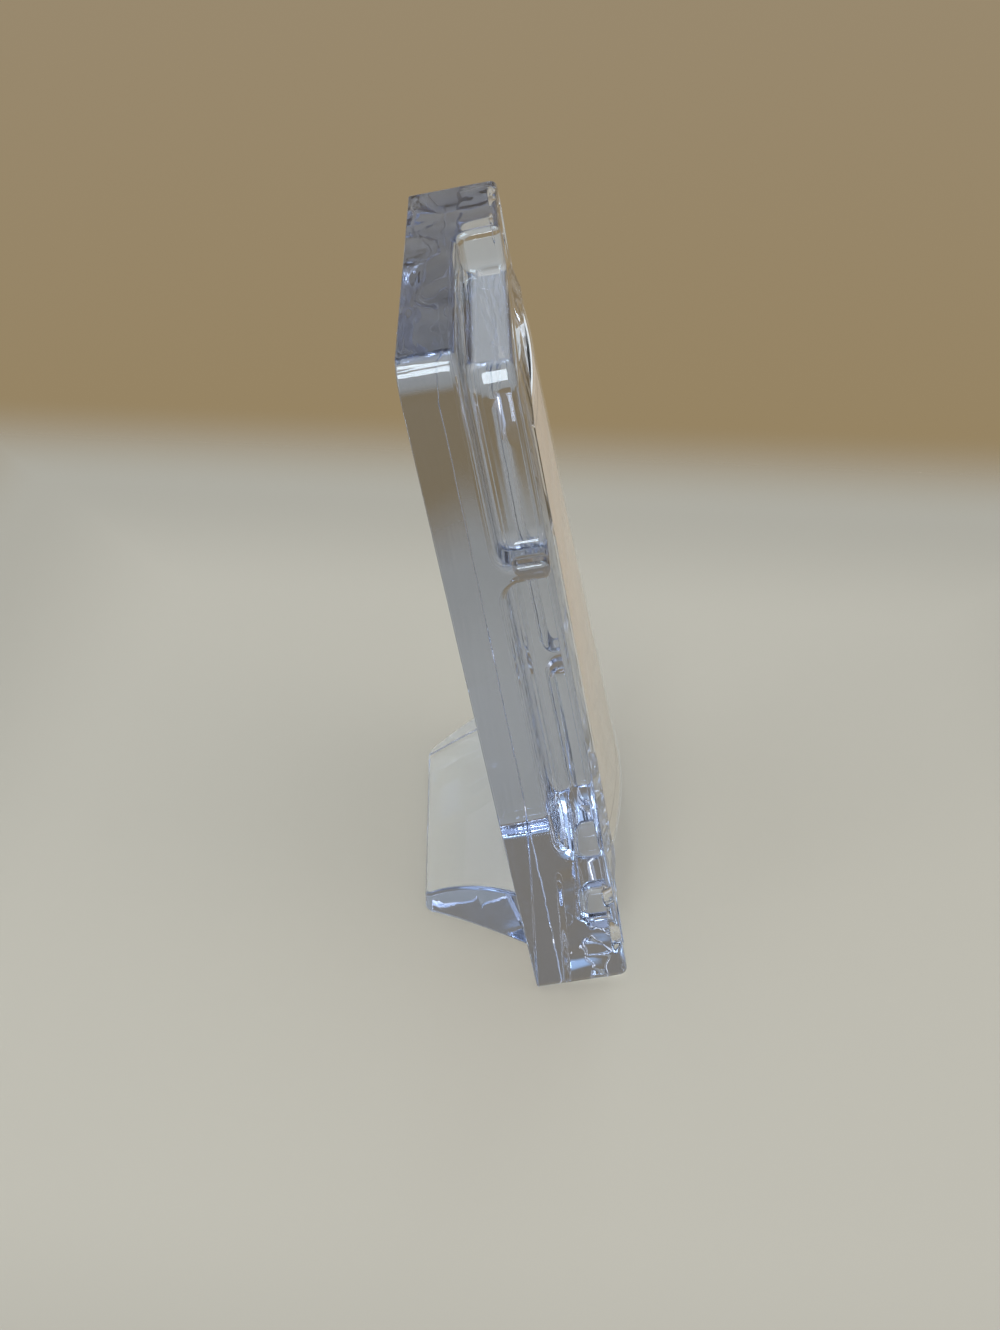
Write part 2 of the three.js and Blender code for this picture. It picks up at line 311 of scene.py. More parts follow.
@dataclass(frozen=True)
class Slab:
    """The slab that carries every other piece, in millimetres."""

    width: float = 128.0
    height: float = 180.0
    rear_layer: float = 13.4
    front_layer: float = 11.2
    end_ledge: float = 8.2
    rounding: float = 1.0

    @property
    def thickness(self) -> float:
        """How thick the slab is from its rear face to its front face."""
        return self.rear_layer + self.front_layer

    @property
    def lean(self) -> float:
        """The angle in radians by which the slab leans back. The sheets lift out square to it."""
        return math.asin(frame["joints"][0]["axis"][2])

    def place(self) -> Matrix:
        """Work out where the slab's pieces go.

        Returns:
            The turn, size and place that take a piece from the bench to the frame.
        """
        low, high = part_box("glass_body")
        sine = math.sin(self.lean)
        cosine = math.cos(self.lean)
        rear = (self.height - self.rounding) * sine + self.rounding * (1 - cosine)
        bottom = self.rounding * (sine + cosine - 1)
        shift = Matrix.Translation((0, high.y - rear * MM, low.z - bottom * MM))
        return shift @ Matrix.Rotation(math.pi / 2 - self.lean, 4, "X") @ Matrix.Scale(MM, 4)


@dataclass(frozen=True)
class Recess:
    """The window recess in the slab's front and the sheets in it, in millimetres."""

    slab: Slab
    depth: float = 1.5
    corner: float = 0.8
    print_width: float = 88.9
    print_height: float = 127.0
    print_thickness: float = 0.4
    print_bow: float = 4.4
    print_bow_taper: float = 1.8
    film_thickness: float = 0.3
    card_thickness: float = 0.6
    gap: float = 0.3
    clearance: float = 0.3
    bow_rounds: int = 6

    @property
    def floor(self) -> float:
        """How high the recess's floor lies above the slab's rear face."""
        return self.slab.thickness - self.depth

    @property
    def bow_angle(self) -> float:
        """Find the bow's angle, in rounds from a first guess.

        Returns:
            Half the angle in radians that the bowed print spans.
        """
        angle = 4 * self.print_bow / self.print_width
        for _ in range(self.bow_rounds):
            angle = 2 * self.print_bow * angle**2 / (self.print_width * (1 - math.cos(angle)))
        return angle

    @property
    def print_radius(self) -> float:
        """The bow's radius at the print's back."""
        return self.print_width / (2 * self.bow_angle)

    @property
    def film_radius(self) -> float:
        """The bow's radius at the film's back."""
        return self.print_radius + self.print_thickness + self.gap

    @property
    def bow_centre(self) -> float:
        """How high the bow's axis lies above the slab's rear face."""
        edge = self.floor + self.card_thickness + 2 * self.gap
        return edge - self.print_radius * math.cos(self.bow_angle)

    @property
    def width(self) -> float:
        """The recess's width."""
        span = 2 * (self.film_radius + self.film_thickness) * math.sin(self.bow_angle)
        return span + 2 * self.clearance

    @property
    def height(self) -> float:
        """The recess's height."""
        return self.print_height + 2 * self.clearance

    def rectangle(self, margin: float, bottom: float, top: float, name: str) -> Workpiece:
        """A block over the recess.

        Args:
            margin: How far it reaches past the recess all round.
            bottom: The height of its bottom.
            top: The height of its top.
            name: Its name.

        Returns:
            The block.
        """
        side = self.width / 2 + margin
        end = self.height / 2 + margin
        centre = self.slab.height / 2
        return Workpiece.block(name, (-side, centre - end, bottom), (side, centre + end, top))


# Shader maths


class Wire:
    """A value in a node tree. Arithmetic on it adds Math nodes."""

    def __init__(self, nodes: "Nodes", socket: bpy.types.NodeSocket) -> None:
        """Wrap an output socket of a node tree."""
        self.nodes = nodes
        self.socket = socket

    def math(self, operation: str, first: "Wire | float", second: "Wire | float" = 0.0) -> "Wire":
        """Add a Math node.

        Args:
            operation: The node's operation.
            first: Its first value.
            second: Its second value.

        Returns:
            The result.
        """
        return self.nodes.add("ShaderNodeMath", {"operation": operation}, {0: first, 1: second})

    def __add__(self, other: "Wire | float") -> "Wire":
        """This value plus another."""
        return self.math("ADD", self, other)

    def __sub__(self, other: "Wire | float") -> "Wire":
        """This value less another."""
        return self.math("SUBTRACT", self, other)

    def __rsub__(self, other: float) -> "Wire":
        """A number less this value."""
        return self.math("SUBTRACT", other, self)

    def __mul__(self, other: "Wire | float") -> "Wire":
        """This value times another."""
        return self.math("MULTIPLY", self, other)

    def __truediv__(self, other: "Wire | float") -> "Wire":
        """This value divided by another."""
        return self.math("DIVIDE", self, other)

    def __gt__(self, other: "Wire | float") -> "Wire":
        """1 where this value is the greater one, or else 0."""
        return self.math("GREATER_THAN", self, other)

    def __abs__(self) -> "Wire":
        """This value without its sign."""
        return self.math("ABSOLUTE", self)

    def larger(self, other: "Wire | float") -> "Wire":
        """The larger of this value and another."""
        return self.math("MAXIMUM", self, other)

    def beside(self, name: str) -> "Wire":
        """Another output of the same node."""
        return Wire(self.nodes, self.socket.node.outputs[name])

    __radd__ = __add__
    __rmul__ = __mul__


Value = Wire | float | Triple | Colour


class Nodes:
    """The nodes of one material or of the world."""

    def __init__(self, owner: bpy.types.Material | bpy.types.World) -> None:
        """Start with no nodes.

        Args:
            owner: What the nodes belong to.
        """
        owner.use_nodes = True
        self.tree = owner.node_tree
        self.tree.nodes.clear()

    def add(
        self, kind: str, settings: dict[str, object], sockets: dict[str | int, Value], out: str | int = 0
    ) -> Wire:
        """Add a node.

        Args:
            kind: The node's type.
            settings: Its settings. "stops" gives a ramp's places and colours.
            sockets: The values or links of its sockets.
            out: Which of its outputs is wanted.

        Returns:
            That output.
        """
        node = self.tree.nodes.new(kind)
        for key, value in settings.items():
            if key == "stops":
                self._set_stops(node.color_ramp, value)
            else:
                setattr(node, key, value)
        for key, value in sockets.items():
            if isinstance(value, Wire):
                self.tree.links.new(value.socket, node.inputs[key])
            else:
                node.inputs[key].default_value = value
        return Wire(self, node.outputs[out])

    @staticmethod
    def _set_stops(ramp: bpy.types.ColorRamp, stops: Stops) -> None:
        """Set a ramp's stops.

        Args:
            ramp: The ramp.
            stops: Their places and colours.
        """
        for i, (place, colour) in enumerate(stops):
            if i >= len(ramp.elements):
                ramp.elements.new(place)
            ramp.elements[i].position = place
            ramp.elements[i].color = colour

    def output(self, kind: str, shader: Wire, volume: Wire | None = None) -> None:
        """Link the shaders to a new output node.

        Args:
            kind: The output node's type.
            shader: The shader of the surface.
            volume: The shader of what lies under the surface, if there is one.
        """
        end = self.tree.nodes.new(kind)
        self.tree.links.new(shader.socket, end.inputs["Surface"])
        if volume:
            self.tree.links.new(volume.socket, end.inputs["Volume"])

    def place(self) -> Wire:
        """The place on the piece, in metres in the frame."""
        return self.add("ShaderNodeTexCoord", {}, {}, "Object")

    def noise(self, place: Wire, scale: float, detail: float = 2.0) -> Wire:
        """Soft noise at a number of lumps to the metre."""
        return self.add(
            "ShaderNodeTexNoise", {}, {"Vector": place, "Scale": scale, "Detail": detail}, "Fac"
        )

    def bench(self, slab: Slab, up: float = 0.0) -> Wire:
        """The place on the bench in millimetres, where the slab lies on its back.

        Args:
            slab: The slab.
            up: How far up the slab's middle line the place is measured from.

        Returns:
            The place.
        """
        back = slab.place().inverted()
        return self.add(
            "ShaderNodeMapping",
            {},
            {
                "Vector": self.place(),
                "Location": tuple(back.translation - Vector((0, up, 0))),
                "Rotation": tuple(back.to_euler()),
                "Scale": (1 / MM,) * 3,
            },
        )

    def apart(self, place: Wire) -> tuple[Wire, Wire, Wire]:
        """The three parts of a place."""
        x = self.add("ShaderNodeSeparateXYZ", {}, {"Vector": place}, "X")
        return x, x.beside("Y"), x.beside("Z")

    def ease(self, value: Wire, low: float, high: float, start: float = 0.0, end: float = 1.0) -> Wire:
        """A smooth change from start to end as a value goes from low to high."""
        return self.add(
            "ShaderNodeMapRange",
            {"interpolation_type": "SMOOTHSTEP"},
            {"Value": value, "From Min": low, "From Max": high, "To Min": start, "To Max": end},
        )

    def blend(self, share: Wire, first: Value, second: Value) -> Wire:
        """A colour that goes from a first to a second one with a share."""
        # A Mix node has sockets for each type of data, and those for colours go by number
        return self.add("ShaderNodeMix", {"data_type": "RGBA"}, {0: share, 6: first, 7: second}, 2)

    def bump(self, height: Wire, distance: float) -> Wire:
        """A surface normal tilted by a height, whose full range is a distance in metres."""
        return self.add(
            "ShaderNodeBump", {}, {"Height": height, "Distance": distance, "Strength": 1.0}, "Normal"
        )

    def principled(self, sockets: dict[str | int, Value]) -> Wire:
        """A surface of the general kind, with the values or links of its sockets."""
        return self.add("ShaderNodeBsdfPrincipled", {}, sockets)

    def mix(self, share: Wire, first: Wire, second: Wire) -> Wire:
        """A surface that goes from a first to a second one with a share."""
        return self.add("ShaderNodeMixShader", {}, {0: share, 1: first, 2: second})


# Finishes


@dataclass(frozen=True)
class Finish:
    """What a surface is made of."""

    name: str

    def material(self) -> bpy.types.Material:
        """Make the material.

        Returns:
            The material.
        """
        made = bpy.data.materials.new(self.name)
        nodes = Nodes(made)
        nodes.output("ShaderNodeOutputMaterial", self._surface(nodes), self._depth(nodes))
        return made

    def _surface(self, nodes: Nodes) -> Wire:
        """The shader of the surface."""
        raise NotImplementedError

    def _depth(self, nodes: Nodes) -> Wire | None:
        """The shader of what lies under the surface, where light gets in."""
        return None


@dataclass(frozen=True)
class PressedGlass(Finish):
    """Thick clear glass, pressed in a mould and fire-polished: a little wavy, faintly smudged."""

    name: str = "pressed_glass"
    tint: Colour = (1, 1, 1, 1)
    depth_tint: Colour = (0.2, 0.3, 0.52, 1)
    depth_density: float = 5.4
    lamp_tint: Colour = (0.92, 0.93, 0.94, 1)
    ior: float = 1.47
    wave_scale: float = 38.0
    wave_height: float = 0.00016
    ripple_scale: float = 240.0
    ripple_share: float = 0.06
    smudge_scale: float = 30.0
    smudge_span: Pair = (0.5, 0.75)
    smudge_roughness: float = 0.05

    def _surface(self, nodes: Nodes) -> Wire:
        """Make glass that the lamps shine through.

        Args:
            nodes: The material's nodes.

        Returns:
            The shader of the surface.
        """
        cloud = nodes.noise(nodes.place(), self.smudge_scale, detail=5.0)
        glass = nodes.principled(
            {
                "Base Color": self.tint,
                "Transmission Weight": 1.0,
                "IOR": self.ior,
                "Roughness": nodes.ease(cloud, *self.smudge_span, 0.0, self.smudge_roughness),
                "Normal": nodes.bump(self._height(nodes), self.wave_height),
            }
        )
        lamp_ray = nodes.add("ShaderNodeLightPath", {}, {}, "Is Shadow Ray")
        lamp_way = nodes.add("ShaderNodeBsdfTransparent", {}, {"Color": self.lamp_tint})
        return nodes.mix(lamp_ray, self._skin(nodes, glass), lamp_way)

    def _depth(self, nodes: Nodes) -> Wire:
        """The tint that deepens with the glass."""
        return nodes.add(
            "ShaderNodeVolumeAbsorption", {}, {"Color": self.depth_tint, "Density": self.depth_density}
        )

    def _height(self, nodes: Nodes) -> Wire:
        """Make the surface wavy.

        Args:
            nodes: The material's nodes.

        Returns:
            The height of the waves, in wave heights.
        """
        place = nodes.place()
        wave = nodes.noise(place, self.wave_scale, detail=1.0)
        return wave + nodes.noise(place, self.ripple_scale, detail=1.0) * self.ripple_share

    def _skin(self, nodes: Nodes, glass: Wire) -> Wire:
        """The surface over the glass, which is clear."""
        return glass


@dataclass(frozen=True, kw_only=True)
class SlabGlass(PressedGlass):
    """The slab's glass: the mould leaves the blocks' ends uneven, and painted light, a pale diffuse layer,
    lightens the upper end ledge's wall in place of the lit floor seen through it.
    """

    slab: Slab
    uneven_scale: Triple = (0.06, 0.085, 0.085)
    uneven_height: float = 0.002
    uneven_reach: Pair = (10.0, 22.0)
    uneven_start: Pair = (7.0, 9.5)
    uneven_edge: Pair = (0.6, 1.8)
    top_share: float = 0.5
    # Painted light: a pale diffuse colour mixed into the wall at the upper end ledge, standing in for the
    # lit floor seen through the glass
    painted_ledge_light: Colour = (0.62, 0.6, 0.57, 1)
    painted_ledge_light_share: float = 0.35
    painted_ledge_light_start: Pair = (0.5, 2.5)
    painted_ledge_light_edge: Pair = (0.2, 0.8)

    def _height(self, nodes: Nodes) -> Wire:
        """Make the surface wavy, and its ends uneven.

        Args:
            nodes: The material's nodes.

        Returns:
            The height of the waves and lumps, in wave heights.
        """
        bench = nodes.bench(self.slab)
        x, y, z = nodes.apart(bench)
        inner, outer = self.uneven_edge
        end = nodes.ease(y, outer, inner)
        top = nodes.ease(y, self.slab.height - outer, self.slab.height - inner)
        near, far = self.uneven_reach
        block = nodes.ease(x, far, near)
        front = nodes.ease(z, *self.uneven_start)
        stretched = nodes.add("ShaderNodeMapping", {}, {"Vector": bench, "Scale": self.uneven_scale})
        lumps = nodes.noise(stretched, 1.0, detail=0.5) * (end * block * front + top * self.top_share)
        return super()._height(nodes) + lumps * (self.uneven_height / self.wave_height)

    def _skin(self, nodes: Nodes, glass: Wire) -> Wire:
        """Lay the painted light on the ledge: a pale diffuse layer in place of the lit floor seen through
        the glass.

        Args:
            nodes: The material's nodes.
            glass: The shader of the clear glass.

        Returns:
            The shader of both.
        """
        _, y, z = nodes.apart(nodes.bench(self.slab))
        front = nodes.ease(z, *(self.slab.rear_layer + start for start in self.painted_ledge_light_start))
        full, none = self.painted_ledge_light_edge
        ledge = nodes.ease(abs(y - (self.slab.height - self.slab.end_ledge)), none, full)
        # Painted light: the pale diffuse colour that lightens the ledge's wall
        painted_ledge_light = nodes.add("ShaderNodeBsdfDiffuse", {}, {"Color": self.painted_ledge_light})
        return nodes.mix(ledge * front * self.painted_ledge_light_share, glass, painted_ledge_light)


@dataclass(frozen=True)
class ClearLayer(Finish):
    """A thin clear plastic layer, the cover film or the cured adhesive: a faint haze with a soft gloss."""

    colour: Colour
    ior: float
    haze: Pair
    roughness: Pair
    grain_scale: float
    grain_height: float
    cloud_size: float = 8.0
    haze_span: Pair = (0.3, 0.75)
    roughness_span: Pair = (0.35, 0.7)

    def _surface(self, nodes: Nodes) -> Wire:
        """Make clear plastic with clouds of haze.

        Args:
            nodes: The material's nodes.

        Returns:
            The shader of the surface.
        """
        place = nodes.place()
        grain = nodes.noise(place, self.grain_scale, detail=3.0)
        cloud = nodes.noise(place, self.grain_scale / self.cloud_size)
        return nodes.principled(
            {
                "Base Color": self.colour,
                "IOR": self.ior,
                "Roughness": nodes.ease(cloud, *self.roughness_span, *self.roughness),
                "Alpha": nodes.ease(cloud, *self.haze_span, *self.haze),
                "Normal": nodes.bump(grain, self.grain_height),
            }
        )


@dataclass(frozen=True)
class Board(Finish):
    """Uncoated paper or card, with fibres and a little mottling."""

    light: Colour
    dark: Colour
    fibre_scale: float = 900.0
    fibre_stretch: Triple = (1.0, 1.0, 0.25)
    fibre_height: float = 0.00003
    fibre_share: float = 0.5
    mottle_size: float = 20.0
    mottle_span: Pair = (0.3, 0.7)
    roughness: Pair = (0.77, 0.85)

    def _surface(self, nodes: Nodes) -> Wire:
        """Make matt fibres, darker and lighter.

        Args:
            nodes: The material's nodes.

        Returns:
            The shader of the surface.
        """
        place = nodes.place()
        stretched = nodes.add("ShaderNodeMapping", {}, {"Vector": place, "Scale": self.fibre_stretch})
        fibre = nodes.noise(stretched, self.fibre_scale, detail=4.0)
        mottle = nodes.noise(place, self.fibre_scale / self.mottle_size, detail=3.0)
        shade = fibre * self.fibre_share + mottle * (1 - self.fibre_share)
        return nodes.principled(
            {
                "Base Color": nodes.blend(shade, self.dark, self.light),
                "Roughness": nodes.ease(mottle, *self.mottle_span, *self.roughness),
                "Normal": nodes.bump(fibre, self.fibre_height),
            }
        )


@dataclass(frozen=True, kw_only=True)
class PrintFace(Finish):
    """The printed side: a matte peach ground that pales to the middle, a thin border and scattered ticks."""

    slab: Slab
    recess: Recess
    name: str = "peach_print"
    ground: Colour = (0.76, 0.63, 0.48, 1)
    glow: Colour = (0.8, 0.71, 0.58, 1)
    glow_span: Pair = (0.15, 1.0)
    low_ground: Colour = (0.66, 0.61, 0.51, 1)
    low_end: float = 0.4
    ink: Colour = (0.2, 0.13, 0.09, 1)
    border_inset: float = 6.0
    border_width: float = 0.5
    border_ink: float = 0.55
    tick_pitch: float = 15.0
    tick_size: float = 0.045
    tick_core: float = 0.6
    tick_stretch: float = 0.35
    tick_slant: float = 0.55
    tick_share: float = 0.72
    grain_scale: float = 1400.0
    grain_span: Pair = (0.3, 0.7)
    grain_height: float = 0.00002
    roughness: Pair = (0.5, 0.62)

    def _surface(self, nodes: Nodes) -> Wire:
        """Make matt paper with the printed design.

        Args:
            nodes: The material's nodes.

        Returns:
            The shader of the surface.
        """
        flat = nodes.bench(self.slab, self.slab.height / 2)
        ink = self._border(nodes, flat).larger(self._ticks(nodes, flat))
        grain = nodes.noise(nodes.place(), self.grain_scale, detail=3.0)
        return nodes.principled(
            {
                "Base Color": nodes.blend(ink, self._ground(nodes, flat), self.ink),
                "Roughness": nodes.ease(grain, *self.grain_span, *self.roughness),
                "Normal": nodes.bump(grain, self.grain_height),
            }
        )

    def _ground(self, nodes: Nodes, flat: Wire) -> Wire:
        """Colour the ground.

        Args:
            nodes: The material's nodes.
            flat: The place from the print's middle, in millimetres.

        Returns:
            The ground's colour.
        """
        x, y, _ = nodes.apart(flat)
        half_width = self.recess.print_width / 2
        half_height = self.recess.print_height / 2
        out = (abs(x) / half_width).larger(abs(y) / half_height)
        middle = nodes.ease(out, *self.glow_span, 1.0, 0.0)
        high = nodes.ease(y, -half_height, half_height * self.low_end)
        return nodes.blend(high, self.low_ground, nodes.blend(middle, self.ground, self.glow))

    def _border(self, nodes: Nodes, flat: Wire) -> Wire:
        """Draw the border.

        Args:
            nodes: The material's nodes.
            flat: The place from the print's middle, in millimetres.

        Returns:
            How much ink the border has there.
        """
        x, y, _ = nodes.apart(flat)
        beyond = (abs(x) - self.recess.print_width / 2).larger(abs(y) - self.recess.print_height / 2)
        return nodes.ease(abs(beyond + self.border_inset), self.border_width, 0.0) * self.border_ink

    def _ticks(self, nodes: Nodes, flat: Wire) -> Wire:
        """Scatter the ticks.

        Args:
            nodes: The material's nodes.
            flat: The place from the print's middle, in millimetres.

        Returns:
            How much ink the ticks have there.
        """
        leaning = nodes.add(
            "ShaderNodeMapping",
            {},
            {
                "Vector": flat,
                "Rotation": (0.0, 0.0, self.tick_slant),
                "Scale": (1 / self.tick_pitch, self.tick_stretch / self.tick_pitch, 0.0),
            },
        )
        cell = nodes.add(
            "ShaderNodeTexVoronoi", {"voronoi_dimensions": "2D"}, {"Vector": leaning, "Scale": 1.0}
        )
        chance = nodes.add("ShaderNodeSeparateColor", {}, {"Color": cell.beside("Color")})
        core = self.tick_size * self.tick_core
        return nodes.ease(cell, self.tick_size, core) * (chance > self.tick_share)


@dataclass(frozen=True)
class FloorFinish(Finish):
    """Pale matt board, a little darker towards its edges, where it fades into the background."""

    name: str = "pale_floor"
    colour: Colour = (0.52, 0.455, 0.355, 1)
    far_colour: Colour = (0.44, 0.385, 0.3, 1)
    far_start: float = 0.135
    fade_start: float = 0.225
    fade_end: float = 0.315
    turn: float = 7.0

    def _surface(self, nodes: Nodes) -> Wire:
        """Make board that turns clear at its edges.

        Args:
            nodes: The material's nodes.

        Returns:
            The shader of the surface.
        """
        turned = nodes.add(
            "ShaderNodeMapping", {}, {"Vector": nodes.place(), "Rotation": (0, 0, math.radians(self.turn))}
        )
        x, y, _ = nodes.apart(turned)
        reach = abs(x).larger(abs(y))
        far = nodes.ease(reach, self.far_start, self.fade_start)
        colour = nodes.blend(far, self.colour, self.far_colour)
        board = nodes.add("ShaderNodeBsdfDiffuse", {}, {"Color": colour})
        clear = nodes.add("ShaderNodeBsdfTransparent", {}, {})
        return nodes.mix(nodes.ease(reach, self.fade_start, self.fade_end), board, clear)


# The pieces


@dataclass
class Heart:
    """A heart-shaped hollow, in millimetres, with its outline in shares of its height and half its width."""

    width: float
    height: float
    x: float
    y: float
    depth: float = 3.0
    bowl: float = 2.4
    rounding: float = 0.4
    cleft: float = 0.27
    cleft_side: float = 0.12
    crown: float = 0.61
    shoulder: float = 0.16
    cheek: float = -0.14
    tip_rise: float = 0.16
    tip_side: float = 0.2
    curve_steps: int = 10
    rings: int = 7
    rim_rings: int = 3

    def cutter(self, surface: float, above: float) -> Workpiece:
        """Model the hollow as a solid.

        Args:
            surface: The height of the surface that it is cut into.
            above: How far the solid stands out of that surface.

        Returns:
            The solid.
        """
        top = surface + above
        bpy.ops.object.select_all(action="DESELECT")
        bpy.ops.curve.primitive_bezier_circle_add(location=(self.x, self.y, top))
        spline = bpy.context.object.data.splines[0]
        spline.resolution_u = self.curve_steps
        rim_scale, _ = self._profile()[0]
        for point, (knot, before, after) in zip(spline.bezier_points, self._outline(rim_scale)):
            point.handle_left_type = "FREE"
            point.handle_right_type = "FREE"
            point.co = (*knot, 0)
            point.handle_left = (*before, 0)
            point.handle_right = (*after, 0)
        bpy.ops.object.convert(target="MESH")
        solid = Workpiece("heart_hollow")
        with solid.editing():
            bpy.ops.mesh.select_all(action="SELECT")
            bpy.ops.mesh.edge_face_add()
        solid.draw_out(lambda face: True, self._pulls(surface, above))
        solid.weld()
        return solid

    def _outline(self, scale: float) -> list[tuple[Pair, Pair, Pair]]:
        """The outline's knots, from the tip round.

        Args:
            scale: The outline's size against the hollow's.

        Returns:
            Each knot with the handle before it and the one after it.
        """
        side = scale * self.width / 2
        height = scale * self.height
        tip = -height / 2
        rise = tip + self.tip_rise * height
        tip_side = self.tip_side * side
        cheek = self.cheek * height
        shoulder = self.shoulder * height
        crown = self.crown * height
        cleft_side = self.cleft_side * side
        return [
            ((0, tip), (-tip_side, rise), (tip_side, rise)),
            ((side, shoulder), (side, cheek), (side, crown)),
            ((0, self.cleft * height), (cleft_side, crown), (-cleft_side, crown)),
            ((-side, shoulder), (-side, crown), (-side, cheek)),
        ]

    def _profile(self) -> list[Pair]:
        """Work out the hollow's section.

        Returns:
            The outline's scale and depth, from the rounded rim down to the floor.
        """
        half = self.width / 2
        profile = []
        for i in range(self.rim_rings + 1):
            angle = math.pi / 2 * i / self.rim_rings
            wider = self.rounding * (1 - math.sin(angle))
            profile.append((1 + wider / half, self.rounding * (1 - math.cos(angle))))
        for i in range(1, self.rings + 1):
            angle = math.pi / 2 * i / self.rings
            narrower = self.bowl * (1 - math.cos(angle))
            depth = self.rounding + (self.depth - self.rounding) * math.sin(angle)
            profile.append((1 - narrower / half, depth))
        return profile

    def _pulls(self, surface: float, above: float) -> list[Pull]:
        """The steps that draw the outline down into a bowl.

        Args:
            surface: The height of the surface that the hollow is cut into.
            above: How far above that surface the outline starts.

        Returns:
            The steps.
        """
        pulls = [Pull((0, 0, -above))]
        for (scale, depth), (new_scale, new_depth) in pairwise(self._profile()):
            ratio = new_scale / scale
            pulls.append(Pull((0, 0, depth - new_depth), (ratio, ratio, 1), (self.x, self.y, surface)))
        return pulls


@dataclass
class GlassBody:
    """The pressed slab: stepped edges, straps, corner hearts, a bevelled rail and the window recess."""

    slab: Slab
    recess: Recess
    finish: bpy.types.Material
    block_corner: float = 3.0
    ledge_corner: float = 8.2
    inner_chamfer: float = 4.5
    side_ledge: float = 11.0
    ledge_fillet: float = 4.0
    block_length: float = 43.5
    side_run: float = 9.8
    end_run: float = 2.0
    strap_height: float = 126.6
    strap_thickness: float = 4.6
    rail_rise: float = 1.7
    rail_slope: float = 5.2
    rail_crest: float = 0.8
    crest_rounding: float = 0.25
    rear_rounding: float = 0.4
    front_rounding: float = 2.0
    heart_size: Pair = (18.0, 16.0)
    heart_margin: float = 2.6
    small_heart_size: Pair = (9.6, 8.6)
    small_heart_spacing: float = 3.4
    embed: float = 0.5
    arc_steps: int = 8
    fillet_steps: int = 6
    edge_steps: int = 4
    crest_steps: int = 3

    @property
    def inner(self) -> float:
        """The distance of the front layer's side walls from the slab's middle."""
        return self.slab.width / 2 - self.side_ledge

    def build(self) -> bpy.types.Object:
        """Model the slab and put it in its place.

        Returns:
            The finished slab.
        """
        piece = self._rear_layer()
        self._front_layer(piece)
        self._round_edges(piece)
        self._rail_and_recess(piece)
        for heart in self._hearts():
            piece.combine(heart.cutter(self.slab.thickness, self.embed), Join.CUT)
        piece.weld()
        self._round_crest(piece)
        return piece.set_down(self.slab.place(), self.finish)

    def _turned(self, point: Vector | Pair, half: bool) -> Pair:
        """Turn a point in the slab's plane round the slab's middle.

        Args:
            point: The point.
            half: Whether to turn it by half a turn, or not at all.

        Returns:
            Where the point then is.
        """
        if half:
            return -point[0], self.slab.height - point[1]
        return point[0], point[1]

    def _rear_layer(self) -> Workpiece:
        """Model the plain rear layer with its round corners.

        Returns:
            The rear layer.
        """
        side = self.slab.width / 2
        top = (side, self.slab.height, self.slab.rear_layer)
        piece = Workpiece.block("body_glass", (-side, 0, 0), top)
        self._round_corners(piece, (-side, 0), self.block_corner, self.arc_steps)
        self._round_corners(piece, (side, 0), self.ledge_corner, self.arc_steps)
        return piece

    def _round_corners(self, piece: Workpiece, corner: Pair, radius: float, steps: int) -> None:
        """Round the upright edges at a corner in the slab's plane and at the one opposite it.

        Args:
            piece: The slab.
            corner: The corner's place.
            radius: The rounding's radius.
            steps: How many strips make it, 1 for a chamfer.
        """
        places = [self._turned(corner, half) for half in (False, True)]

        def at_corner(edge: bmesh.types.BMEdge) -> bool:
            """Whether an edge is one of those upright edges."""
            middle = middle_of(edge).to_2d()
            return upright(edge) and any((middle - Vector(place)).length < NEAR for place in places)

        piece.bevel(at_corner, radius, steps)

    def _front_layer(self, piece: Workpiece) -> None:
        """Mark the stepped outline on the rear layer and raise what lies inside it.

        Args:
            piece: The slab.
        """
        for x in (-self.inner, self.inner):
            piece.cut(faces_front, (x, 0, 0), (1, 0, 0))
        for y in (self.slab.end_ledge, self.slab.height - self.slab.end_ledge):
            piece.cut(faces_front, (0, y, 0), (0, 1, 0))
        for half in (False, True):
            self._mark_half(piece, half)
        piece.draw_out(self._raised, [Pull((0, 0, self.slab.front_layer))])
        piece.merge_flats()
        self._round_corners(piece, (self.inner, self.slab.end_ledge), self.inner_chamfer, 1)

    def _mark_half(self, piece: Workpiece, half: bool) -> None:
        """Cut the strap and the block's two ends into one half's ledges.

        Args:
            piece: The slab.
            half: Whether it is the half that is turned by half a turn.
        """
        side = self.slab.width / 2
        block_end = self._turned((-side, self.block_length), half)
        block_foot = self._turned((-side + self.block_length, 0), half)
        strap = self._turned((0, self.strap_height), half)[1]

        def beside(face: bmesh.types.BMFace) -> bool:
            """Whether a face lies on this half's side ledge."""
            x, y = self._turned(face.calc_center_median(), half)
            return faces_front(face) and x < -self.inner and self._between_ends(y)

        def below(face: bmesh.types.BMFace) -> bool:
            """Whether a face lies on this half's end ledge."""
            x, y = self._turned(face.calc_center_median(), half)
            return faces_front(face) and abs(x) < self.inner and y < self.slab.end_ledge

        for y in (strap - self.strap_thickness / 2, strap + self.strap_thickness / 2):
            piece.cut(beside, (0, y, 0), (0, 1, 0))
        piece.cut(beside, (*block_end, 0), (self.side_run, -self.side_ledge, 0))
        piece.cut(below, (*block_foot, 0), (self.slab.end_ledge, -self.end_run, 0))

    def _between_ends(self, y: float) -> bool:
        """Whether a height on the slab lies between the end ledges."""
        return self.slab.end_ledge < y < self.slab.height - self.slab.end_ledge

    def _raised(self, face: bmesh.types.BMFace) -> bool:
        """Tell which faces belong to the front layer.

        Args:
            face: A face of the rear layer.

        Returns:
            Whether it does.
        """
        if not faces_front(face):
            return False
        middle = face.calc_center_median()
        return any(self._raised_in_half(*self._turned(middle, half)) for half in (False, True))

